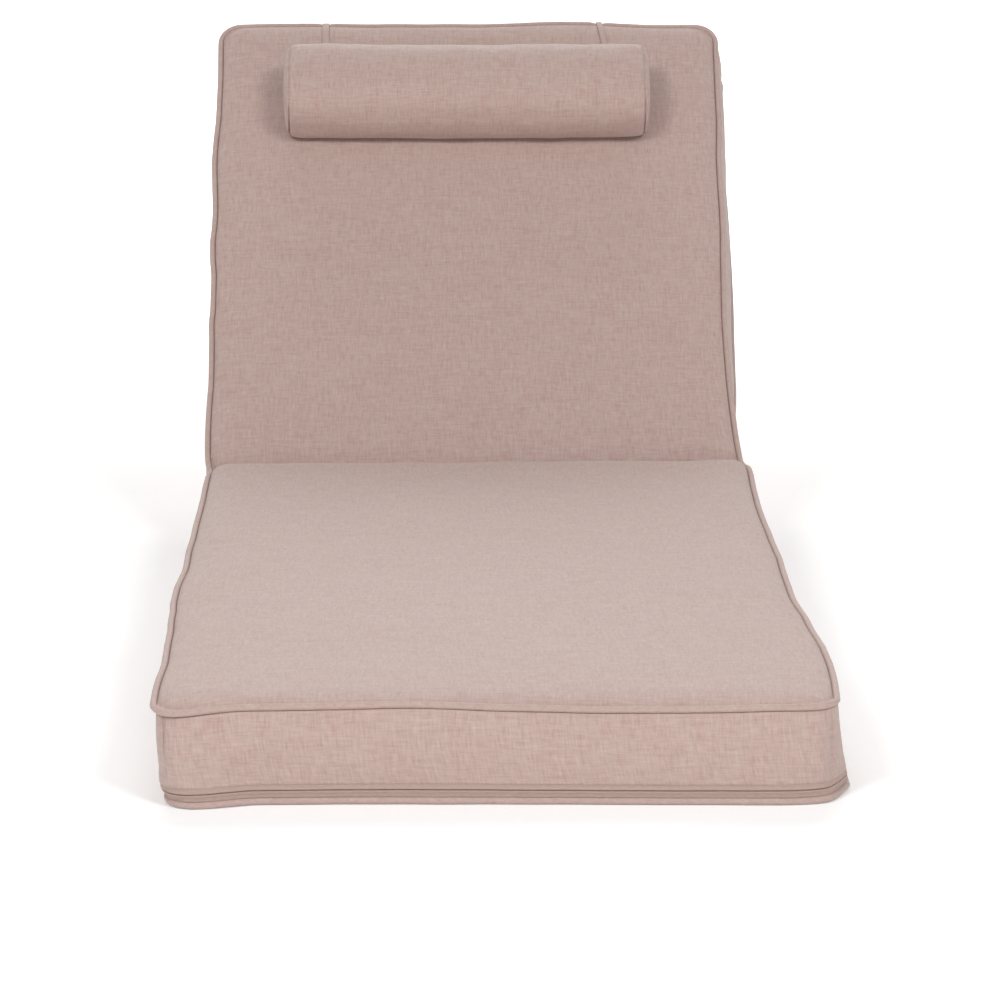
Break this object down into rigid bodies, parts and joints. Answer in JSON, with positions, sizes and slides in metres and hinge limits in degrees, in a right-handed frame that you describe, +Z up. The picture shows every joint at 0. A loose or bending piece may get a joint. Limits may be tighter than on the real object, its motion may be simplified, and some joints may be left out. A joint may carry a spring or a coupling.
{
  "type": "sun lounger cushion",
  "caption": "Box-edged sun lounger cushion with piped seams, a zip across the foot and its back section raised at a sewn fold, with a bolster head pillow on two straps.",
  "frame": {"origin": "centre of the flat underside of the seat section, on the surface it rests on", "axes": "+Y from the foot end to the head end, +X to the right seen from the foot end, +Z up out of the seat"},
  "size_m": [0.6673, 1.8217, 0.5974],
  "materials": {
    "cover_cloth": "matt plain-woven melange cloth, dusty pink and beige",
    "piping_cloth": "the cover's cloth rolled round a cord",
    "zip_tape": "matt woven tape",
    "zip_chain": "matt nylon coil",
    "strap_cloth": "the cover's cloth sewn to a narrow flat band"
  },
  "bodies": {
    "root": {"cushion": "cover_cloth", "top_piping": "piping_cloth", "bottom_piping": "piping_cloth", "zip_tape": "zip_tape", "zip_chain": "zip_chain", "head_pillow": "cover_cloth", "strap_left": "strap_cloth", "strap_right": "strap_cloth"}
  },
  "joints": []
}
